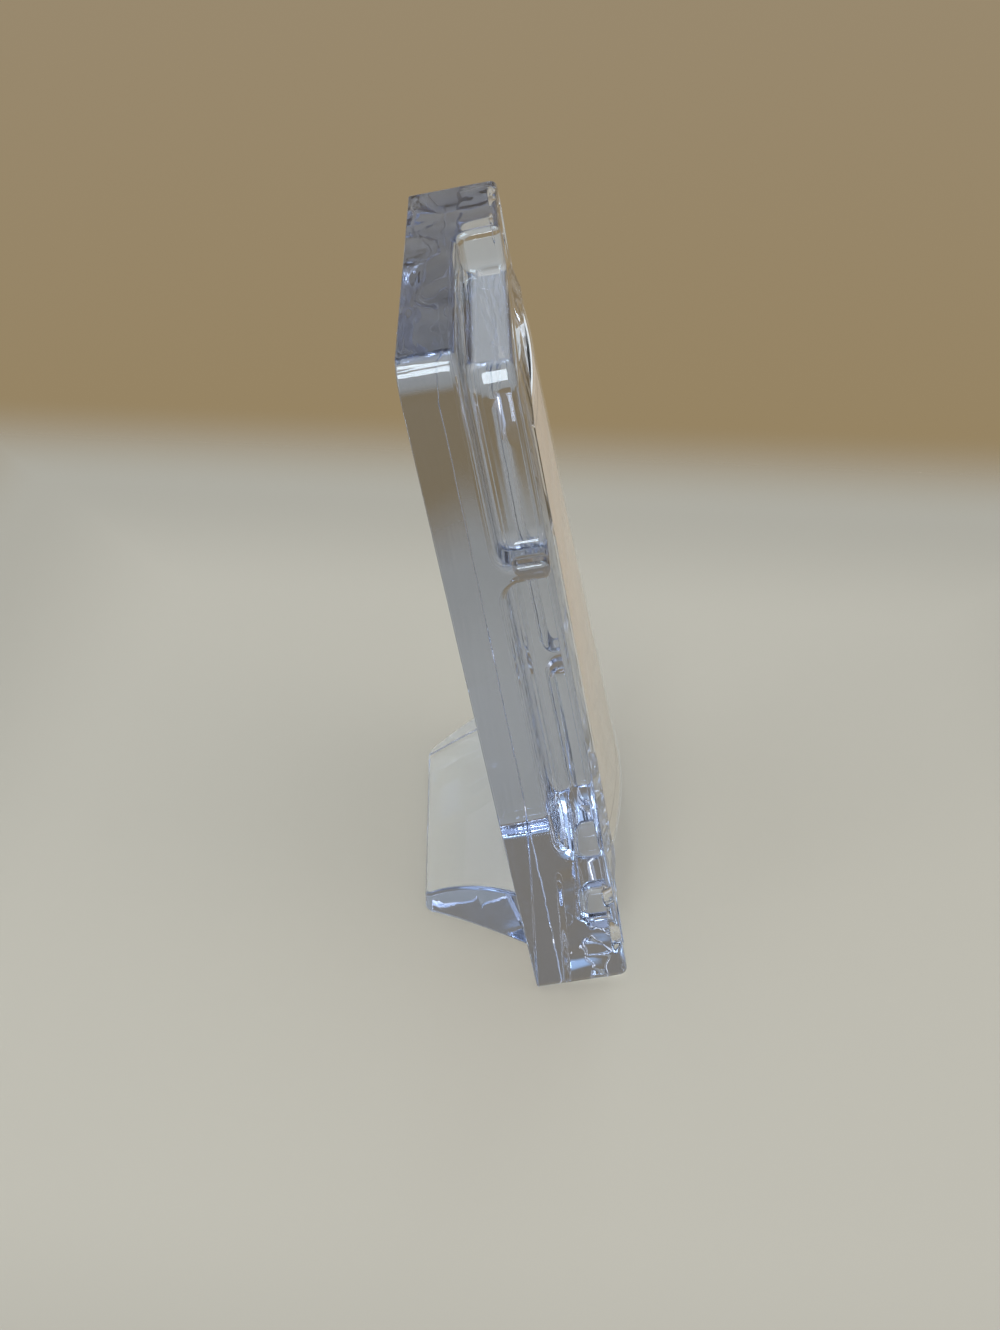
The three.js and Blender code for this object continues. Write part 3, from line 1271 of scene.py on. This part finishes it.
    def _raised_in_half(self, x: float, y: float) -> bool:
        """Tell which places belong to the front layer, by one half's strap and block.

        Args:
            x: How far right of the slab's middle line the place is.
            y: How far up the slab it is.

        Returns:
            Whether it does.
        """
        side = self.slab.width / 2
        within = abs(x) < self.inner and self._between_ends(y)
        strap = x < -self.inner and abs(y - self.strap_height) < self.strap_thickness / 2
        arm_top = self.block_length + self.side_run / self.side_ledge * (x + side)
        left_arm = x < -self.inner and y < arm_top
        arm_end = self.block_length + self.end_run / self.slab.end_ledge * y
        low_arm = y < self.slab.end_ledge and x + side < arm_end
        return within or strap or left_arm or low_arm

    def _round_edges(self, piece: Workpiece) -> None:
        """Fill the hollow corners of the steps and round the outer edges, those of the rear face less.

        Args:
            piece: The slab.
        """

        def at_rear(edge: bmesh.types.BMEdge) -> bool:
            """Whether an edge is a corner of the rear face."""
            return turn_of(edge) > CORNER_TURN and middle_of(edge).z < self.embed

        def at_front(edge: bmesh.types.BMEdge) -> bool:
            """Whether an edge is any other corner."""
            return turn_of(edge) > CORNER_TURN and middle_of(edge).z > self.embed

        piece.bevel(lambda edge: turn_of(edge) < HOLLOW_TURN, self.ledge_fillet, self.fillet_steps)
        piece.bevel(at_rear, self.rear_rounding, self.edge_steps)
        piece.bevel(at_front, self.front_rounding, self.edge_steps)

    def _rail_and_recess(self, piece: Workpiece) -> None:
        """Raise the bevelled rail on the front, and cut the window recess inside it.

        Args:
            piece: The slab.
        """
        top = self.slab.thickness
        slope = self.rail_slope / self.rail_rise
        foot = self.rail_crest + self.rail_slope + slope * self.embed
        rail = self.recess.rectangle(foot, top - 2 * self.embed, top - self.embed, "rail")
        sizes = (self.recess.width, self.recess.height)
        shrink = [(size + 2 * self.rail_crest) / (size + 2 * foot) for size in sizes]
        centre = (0, self.slab.height / 2, top)
        rail.draw_out(faces_front, [Pull((0, 0, self.embed + self.rail_rise), (*shrink, 1), centre)])
        piece.combine(rail, Join.ADD)
        window = self.recess.rectangle(0, self.recess.floor, top + self.rail_rise + self.embed, "window")
        window.bevel(upright, self.recess.corner, self.edge_steps)
        piece.combine(window, Join.CUT)

    def _hearts(self) -> list[Heart]:
        """Lay out a large heart in each block's corner, and a small one on each of its arms.

        Returns:
            The hearts.
        """
        side = self.slab.width / 2
        reach = self.rail_slope + self.rail_crest
        side_land = side - self.recess.width / 2 - reach
        end_land = (self.slab.height - self.recess.height) / 2 - reach
        wide, tall = self.heart_size
        small_wide, small_tall = self.small_heart_size
        large_x = -side + self.heart_margin + wide / 2
        end_x = large_x + (wide + small_wide) / 2 + self.small_heart_spacing
        side_y = end_land / 2 + (tall + small_tall) / 2 + self.small_heart_spacing
        places = [
            (self.heart_size, large_x, end_land / 2),
            (self.small_heart_size, end_x, end_land / 2),
            (self.small_heart_size, -side + side_land / 2, side_y),
        ]
        halves = (False, True)
        return [Heart(*size, *self._turned((x, y), half)) for size, x, y in places for half in halves]

    def _round_crest(self, piece: Workpiece) -> None:
        """Round the inner edge of the rail's crest.

        Args:
            piece: The slab.
        """
        crest = self.slab.thickness + self.rail_rise

        def at_crest(edge: bmesh.types.BMEdge) -> bool:
            """Whether an edge is a corner of the crest."""
            level = all(abs(vertex.co.z - crest) < NEAR for vertex in edge.verts)
            return level and turn_of(edge) > CORNER_TURN

        piece.bevel(at_crest, self.crest_rounding, self.crest_steps)


@dataclass
class GlassFoot:
    """The wedge-shaped foot, in millimetres, with y measured backwards from the slab's lower rear edge."""

    slab: Slab
    finish: bpy.types.Material
    reach: float = 30.6
    tip_thickness: float = 6.3
    root_height: float = 17.8
    tip_width: float = 70.8
    flare: float = 16.2
    flare_power: float = 1.25
    corner: float = 2.2
    crown: float = 1.9
    offset: float = 3.8
    stand_off: float = 0.9
    rounding: float = 1.2
    sections: int = 16
    arc_steps: int = 6

    def half_width(self, y: float) -> float:
        """Half the foot's width at a distance behind the slab."""
        return self.tip_width / 2 + self.flare * max(0.0, 1 - y / self.reach) ** self.flare_power

    def root(self, height: float) -> float:
        """How far the foot's root lies behind the slab's lower rear edge, at a height."""
        return self.stand_off / math.cos(self.slab.lean) + height * math.tan(self.slab.lean)

    def top(self, y: float) -> float:
        """Work out the foot's crowned top.

        Args:
            y: The distance behind the slab.

        Returns:
            The top's height there.
        """
        share = min(1.0, (self.reach - y) / (self.reach - self.root(self.root_height)))
        slope = self.tip_thickness + (self.root_height - self.tip_thickness) * share
        return slope + 4 * self.crown * share * (1 - share)

    def place(self) -> Matrix:
        """Work out where the foot goes.

        Returns:
            The size and place that take the foot from the bench to the frame.
        """
        low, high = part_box("glass_foot")
        shift = Vector((self.offset * MM, high.y - self.reach * MM, low.z))
        return Matrix.Translation(shift) @ Matrix.Scale(MM, 4)

    def build(self) -> bpy.types.Object:
        """Model the foot from its tip to its root, and put it in its place.

        Returns:
            The finished foot.
        """
        start = self.reach - self.corner - self.rounding
        tip = self.tip_width / 2
        piece = Workpiece.block("foot_glass", (-tip, start, 0), (tip, self.reach, self.tip_thickness))
        piece.draw_out(lambda face: face.normal.y < -FACING, self._pulls(start))
        lean = self.slab.lean
        normal = (0, math.cos(lean), -math.sin(lean))
        piece.cut(lambda face: True, (0, self.root(0), 0), normal, keep_ahead=True)
        piece.merge_flats()
        at_tip = self.reach - NEAR
        piece.bevel(lambda edge: upright(edge) and middle_of(edge).y > at_tip, self.corner, self.arc_steps)
        piece.bevel(self._free_corner, self.rounding, self.arc_steps)
        piece.weld()
        return piece.set_down(self.place(), self.finish)

    def _pulls(self, start: float) -> list[Pull]:
        """The steps that draw the foot out from near its tip to past its root.

        Args:
            start: How far behind the slab the first step starts.

        Returns:
            The steps.
        """
        end = self.root(0) - self.stand_off
        step = (start - end) / self.sections
        places = [self.reach] + [start - step * i for i in range(self.sections + 1)]
        pulls = []
        for i, (before, y) in enumerate(pairwise(places)):
            scale = (self.half_width(y) / self.half_width(before), 1, self.top(y) / self.top(before))
            pulls.append(Pull((0, -step if i else 0, 0), scale, (0, y, 0)))
        return pulls

    def _free_corner(self, edge: bmesh.types.BMEdge) -> bool:
        """Whether an edge is a corner of the foot, and isn't one of the root's."""
        free = any(vertex.co.y - self.root(vertex.co.z) > NEAR for vertex in edge.verts)
        return free and turn_of(edge) > CORNER_TURN


@dataclass
class FootBond:
    """The clear cured adhesive between the slab and its foot."""

    slab: Slab
    foot: GlassFoot
    finish: bpy.types.Material
    thickness: float = 0.3
    gap: float = 0.3
    margin: float = 1.0
    corner_steps: int = 5

    def build(self) -> bpy.types.Object:
        """Model the layer and put it in its place.

        Returns:
            The finished layer.
        """
        side = self.foot.half_width(self.foot.root(self.foot.root_height)) - self.margin
        low = self.slab.rounding + self.margin
        high = self.foot.root_height / math.cos(self.slab.lean) - self.margin
        back = -self.gap - self.thickness
        piece = Workpiece.block("bond_layer", (-side, low, back), (side, high, -self.gap))
        piece.bevel(upright, self.margin, self.corner_steps)
        aside = Matrix.Translation((self.foot.offset * MM, 0, 0))
        return piece.set_down(aside @ self.slab.place(), self.finish)


@dataclass
class BackingCard:
    """The card on the floor of the recess."""

    recess: Recess
    finish: bpy.types.Material
    edge: float = 0.12
    corner_steps: int = 4
    edge_steps: int = 2

    def build(self) -> bpy.types.Object:
        """Model the card and put it in its place.

        Returns:
            The finished card.
        """
        recess = self.recess
        side = recess.print_radius * math.sin(recess.bow_angle)
        centre = recess.slab.height / 2
        end = recess.print_height / 2
        back = recess.floor + recess.gap
        front = back + recess.card_thickness
        piece = Workpiece.block("card_sheet", (-side, centre - end, back), (side, centre + end, front))
        piece.bevel(upright, recess.corner, self.corner_steps)
        piece.bevel(lambda edge: turn_of(edge) > CORNER_TURN, self.edge, self.edge_steps)
        return piece.set_down(recess.slab.place(), self.finish)


@dataclass
class BowedSheet:
    """A sheet that bows out of the recess: the print or its cover film."""

    name: str
    recess: Recess
    radius: float
    thickness: float
    finishes: dict[Side, bpy.types.Material]
    front_facing: float = 0.5
    steps: int = 64

    def build(self) -> bpy.types.Object:
        """Model the sheet and put it in its place.

        Returns:
            The finished sheet.
        """
        recess = self.recess
        angle = recess.bow_angle
        centre = recess.slab.height / 2
        bpy.ops.object.select_all(action="DESELECT")
        plane_size = 1
        bpy.ops.mesh.primitive_plane_add(size=plane_size, location=(0, centre, 0))
        piece = Workpiece(self.name)
        edge = recess.bow_centre + self.radius * math.cos(angle)
        start = Vector((-self.radius * math.sin(angle), 0, edge))
        with piece.editing():
            self._keep_one_edge(piece)
            bpy.ops.mesh.select_all(action="SELECT")
            bpy.ops.transform.resize(value=(1, recess.print_height, 1), center_override=(0, centre, 0))
            bpy.ops.transform.translate(value=start - Vector((plane_size / 2, 0, 0)))
            bpy.ops.mesh.spin(
                steps=self.steps, angle=2 * angle, center=(0, 0, recess.bow_centre), axis=(0, -1, 0)
            )
            bpy.ops.mesh.select_all(action="SELECT")
            bpy.ops.mesh.remove_doubles(threshold=WELD)
            for end in (-1, 1):
                self._bow_end(piece, end, edge)
        self._face_front(piece)
        piece.thicken(self.thickness)
        made = piece.set_down(recess.slab.place(), *(self.finishes[side] for side in Side))
        self._dress(made)
        return made

    def _keep_one_edge(self, piece: Workpiece) -> None:
        """Delete all of a plane but its edge at the greater x.

        Args:
            piece: The plane, in edit mode.
        """
        mesh = bmesh.from_edit_mesh(piece.obj.data)
        for vertex in mesh.verts:
            if vertex.co.x < 0:
                vertex.select_set(True)
        bmesh.update_edit_mesh(piece.obj.data)
        bpy.ops.mesh.delete(type="VERT")

    def _bow_end(self, piece: Workpiece, end: int, edge: float) -> None:
        """Bow the lower end more, and the upper one less.

        Args:
            piece: The sheet's surface, in edit mode.
            end: -1 for the lower end, 1 for the upper one.
            edge: The height of the sheet's side edges.
        """
        bpy.ops.mesh.select_all(action="DESELECT")
        bpy.ops.mesh.select_mode(type="VERT")
        mesh = bmesh.from_edit_mesh(piece.obj.data)
        for vertex in mesh.verts:
            vertex.select_set((vertex.co.y - self.recess.slab.height / 2) * end > 0)
        bmesh.update_edit_mesh(piece.obj.data)
        share = 1 - end * self.recess.print_bow_taper / self.recess.print_bow
        bpy.ops.transform.resize(value=(1, 1, share), center_override=(0, 0, edge))

    def _face_front(self, piece: Workpiece) -> None:
        """Turn the sheet's faces to the front.

        Args:
            piece: The sheet's surface.
        """
        with piece.editing():
            bpy.ops.mesh.select_all(action="SELECT")
            bpy.ops.mesh.normals_make_consistent(inside=False)
            mesh = bmesh.from_edit_mesh(piece.obj.data)
            if sum(face.normal.z for face in mesh.faces) < 0:
                bpy.ops.mesh.flip_normals()

    def _dress(self, made: bpy.types.Object) -> None:
        """Give the front its finish, and the back and the edges theirs.

        Args:
            made: The finished sheet.
        """
        forward = Vector(frame["joints"][0]["axis"])
        for face in made.data.polygons:
            side = Side.FRONT if face.normal.dot(forward) > self.front_facing else Side.BACK
            face.material_index = side.value


# The studio


@dataclass(frozen=True)
class Lamp:
    """A soft square lamp that looks at the frame's middle, in metres and watts."""

    name: str
    place: Triple
    size: float
    power: float
    colour: Triple
    target: Triple = (0.0, 0.0, 0.08)

    def build(self) -> None:
        """Hang the lamp."""
        bpy.ops.object.light_add(type="AREA", location=self.place)
        lamp = bpy.context.object
        lamp.name = self.name
        lamp.data.shape = "SQUARE"
        lamp.data.size = self.size
        lamp.data.energy = self.power
        lamp.data.color = self.colour
        aim = Vector(self.target) - Vector(self.place)
        lamp.rotation_euler = aim.to_track_quat("-Z", "Y").to_euler()


@dataclass
class Studio:
    """Floor, background, lamps and camera."""

    slab: Slab
    floor: FloorFinish
    floor_size: float = 0.8
    floor_gap: float = 0.0003
    lamps: tuple[Lamp, ...] = (
        Lamp("window", place=(-0.45, 0.9, 0.7), size=0.35, power=1.1, colour=(0.92, 0.96, 1.0)),
        Lamp("front", place=(-0.35, -1.0, 0.6), size=0.4, power=1.1, colour=(1.0, 0.98, 0.95)),
        Lamp("skylight", place=(-0.41, 0.22, 1.02), size=0.24, power=2.9, colour=(0.8, 0.91, 1.0)),
        Lamp("far_skylight", place=(0.5, -0.05, 0.95), size=0.26, power=1.2, colour=(0.66, 0.85, 1.0)),
    )
    backdrop: Stops = (
        (0.0, (0.25, 0.185, 0.1, 1)),
        (0.3, (0.305, 0.23, 0.125, 1)),
        (0.45, (0.32, 0.255, 0.165, 1)),
        (0.86, (0.3, 0.27, 0.22, 1)),
        (0.94, (0.7, 1.02, 1.45, 1)),
        (1.0, (1.0, 1.7, 2.7, 1)),
    )
    backdrop_edge: Pair = (0.1, 0.6)
    room: Stops = (
        (0.0, (0.42, 0.385, 0.33, 1)),
        (0.4, (0.5, 0.465, 0.415, 1)),
        (0.55, (0.56, 0.545, 0.52, 1)),
        (0.7, (0.6, 0.61, 0.62, 1)),
        (0.86, (0.78, 0.84, 0.94, 1)),
        (1.0, (1.1, 1.3, 1.6, 1)),
    )
    camera_place: Triple = (-378.5, 17.5, 305.0)
    camera_pitch: float = 32.56
    camera_heading: float = -91.33
    focal_pixels: float = 1600.0
    image_height: float = 1330.0
    sensor: float = 36.0
    near_clip: float = 0.01
    glossy_bounces: int = 12

    def build(self) -> None:
        """Set the scene."""
        self._floor()
        self._background()
        for lamp in self.lamps:
            lamp.build()
        self._camera()
        bpy.context.scene.view_settings.view_transform = "Standard"
        bpy.context.scene.cycles.glossy_bounces = self.glossy_bounces

    def _floor(self) -> None:
        """Lay the floor under the frame."""
        bpy.ops.object.select_all(action="DESELECT")
        bpy.ops.mesh.primitive_plane_add(size=self.floor_size, location=(0, 0, -self.floor_gap))
        floor = bpy.context.object
        floor.name = "floor"
        floor.data.materials.append(self.floor.material())

    def _background(self) -> None:
        """Colour the background by its height: warm behind the frame, pale elsewhere, bright overhead."""
        world = bpy.data.worlds.new("studio")
        bpy.context.scene.world = world
        nodes = Nodes(world)
        way = nodes.add("ShaderNodeTexCoord", {}, {}, "Generated")
        behind, _, height = nodes.apart(way)
        # The height runs from -1 to 1, and a ramp from 0 to 1
        share = height * 0.5 + 0.5
        room = nodes.add("ShaderNodeValToRGB", {"stops": self.room}, {"Fac": share}, "Color")
        backdrop = nodes.add("ShaderNodeValToRGB", {"stops": self.backdrop}, {"Fac": share}, "Color")
        colour = nodes.blend(nodes.ease(behind, *self.backdrop_edge), room, backdrop)
        nodes.output("ShaderNodeOutputWorld", nodes.add("ShaderNodeBackground", {}, {"Color": colour}))

    def _camera(self) -> None:
        """Stand the camera at the frame's left side, a little above it."""
        bpy.ops.object.camera_add()
        camera = bpy.context.object
        origin = self.slab.place().translation
        camera.location = origin + Vector(self.camera_place) * MM
        pitch = math.radians(90 - self.camera_pitch)
        camera.rotation_euler = (pitch, 0, math.radians(self.camera_heading))
        camera.data.sensor_width = self.sensor
        camera.data.lens = self.sensor * self.focal_pixels / self.image_height
        camera.data.clip_start = self.near_clip
        bpy.context.scene.camera = camera


def stand_in(piece: bpy.types.Object, node: str, body: str) -> None:
    """Let a piece stand for a node and ride on a body.

    Args:
        piece: The finished piece.
        node: The node that it stands for.
        body: The body that it rides on.
    """
    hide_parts(node)
    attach(piece, body)
    log.info("%s stands for %s on %s, with %d faces", piece.name, node, body, len(piece.data.polygons))


def main() -> None:
    """Build the frame's pieces, then the studio."""
    logging.basicConfig(level=logging.INFO, format="%(name)s: %(message)s")
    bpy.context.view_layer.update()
    slab = Slab()
    recess = Recess(slab)
    glass = SlabGlass(slab=slab).material()
    foot_glass = PressedGlass(
        "foot_glass_finish",
        depth_tint=(0.1, 0.35, 0.85, 1),
        depth_density=6.0,
        lamp_tint=(0.92, 0.92, 0.92, 1),
        ior=1.42,
    ).material()
    adhesive = ClearLayer(
        "cured_adhesive",
        colour=(0.8, 0.83, 0.86, 1),
        ior=1.48,
        haze=(0.1, 0.28),
        roughness=(0.05, 0.2),
        grain_scale=500.0,
        grain_height=0.00004,
    ).material()
    film = ClearLayer(
        "clear_film",
        colour=(0.9, 0.88, 0.84, 1),
        ior=1.45,
        haze=(0.07, 0.14),
        roughness=(0.18, 0.3),
        grain_scale=900.0,
        grain_height=0.00002,
    ).material()
    card = Board("pale_card", light=(0.86, 0.84, 0.8, 1), dark=(0.78, 0.76, 0.71, 1)).material()
    paper = Board("print_back", light=(0.86, 0.82, 0.76, 1), dark=(0.76, 0.72, 0.66, 1)).material()
    printed = PrintFace(slab=slab, recess=recess).material()

    foot = GlassFoot(slab, foot_glass)
    stand_in(GlassBody(slab, recess, glass).build(), "glass_body", "frame")
    stand_in(foot.build(), "glass_foot", "frame")
    stand_in(FootBond(slab, foot, adhesive).build(), "foot_bond", "frame")
    stand_in(BackingCard(recess, card).build(), "backing_card", "card")
    faces = {Side.FRONT: printed, Side.BACK: paper}
    print_sheet = BowedSheet("print_sheet", recess, recess.print_radius, recess.print_thickness, faces)
    stand_in(print_sheet.build(), "photo_print", "print")
    faces = {Side.FRONT: film, Side.BACK: film}
    film_sheet = BowedSheet("film_sheet", recess, recess.film_radius, recess.film_thickness, faces)
    stand_in(film_sheet.build(), "cover_film", "cover")
    Studio(slab, FloorFinish()).build()


if __name__ == "__main__":
    main()
